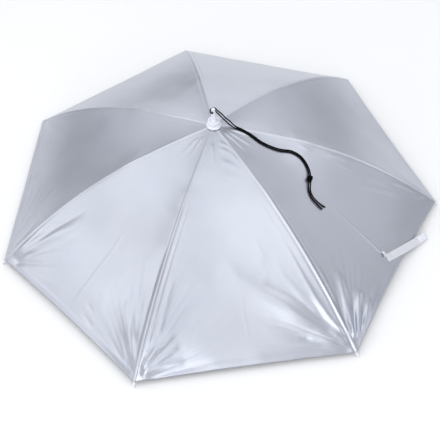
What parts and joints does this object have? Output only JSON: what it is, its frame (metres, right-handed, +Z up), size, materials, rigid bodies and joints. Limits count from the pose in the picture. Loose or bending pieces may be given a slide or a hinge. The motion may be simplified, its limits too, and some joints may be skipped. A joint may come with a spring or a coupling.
{
  "type": "umbrella hat",
  "caption": "Hands-free umbrella worn as a hat: a silver-coated cloth canopy over folding ribs, with a white top post and cap, a black carrying cord, a closing strap and a headband.",
  "frame": {"origin": "middle of the outline, on the level of the seven rib tips that the hat rests on; the hub's axis is at x -12.2 mm, y -13.1 mm", "axes": "+Z up along the hub's axis, towards the top post; +X right and +Y away as the picture shows the hat, with the strap's gore to the right"},
  "size_m": [0.9326, 0.9282, 0.2641],
  "materials": {
    "silver_cloth": "silver-coated plain-weave nylon, satin sheen",
    "steel_rod": "plated round wire",
    "white_plastic": "moulded, satin",
    "steel_sleeve": "pressed sleeve",
    "black_elastic": "knitted elastic webbing",
    "white_webbing": "woven tape, matt",
    "hook_tape": "nylon hooks on a woven back",
    "black_cord": "braided, limp"
  },
  "bodies": {
    "root": {"canopy_gore_1": "silver_cloth", "canopy_gore_2": "silver_cloth", "canopy_gore_3": "silver_cloth", "canopy_gore_4": "silver_cloth", "canopy_gore_5": "silver_cloth", "canopy_gore_6": "silver_cloth", "canopy_gore_7": "silver_cloth", "rib_inner_1": "steel_rod", "rib_inner_2": "steel_rod", "rib_inner_3": "steel_rod", "rib_inner_4": "steel_rod", "rib_inner_5": "steel_rod", "rib_inner_6": "steel_rod", "rib_inner_7": "steel_rod", "rib_outer_1": "steel_rod", "rib_outer_2": "steel_rod", "rib_outer_3": "steel_rod", "rib_outer_4": "steel_rod", "rib_outer_5": "steel_rod", "rib_outer_6": "steel_rod", "rib_outer_7": "steel_rod", "head_stay_1": "steel_rod", "head_stay_2": "steel_rod", "head_stay_3": "steel_rod", "head_stay_4": "steel_rod", "head_stay_5": "steel_rod", "head_stay_6": "steel_rod", "head_stay_7": "steel_rod", "hub": "white_plastic", "ferrule_cap": "white_plastic", "rib_tip_1": "white_plastic", "rib_tip_2": "white_plastic", "rib_tip_3": "white_plastic", "rib_tip_4": "white_plastic", "rib_tip_5": "white_plastic", "rib_tip_6": "white_plastic", "rib_tip_7": "white_plastic", "rib_joint_1": "steel_sleeve", "rib_joint_2": "steel_sleeve", "rib_joint_3": "steel_sleeve", "rib_joint_4": "steel_sleeve", "rib_joint_5": "steel_sleeve", "rib_joint_6": "steel_sleeve", "rib_joint_7": "steel_sleeve", "headband": "black_elastic", "closing_strap": "white_webbing", "strap_tab": "white_webbing", "strap_hook_patch": "hook_tape", "cord_strand_a": "black_cord", "cord_strand_b": "black_cord", "cord_knot": "black_cord", "cord_tail_a": "black_cord", "cord_tail_b": "black_cord"}
  },
  "joints": []
}
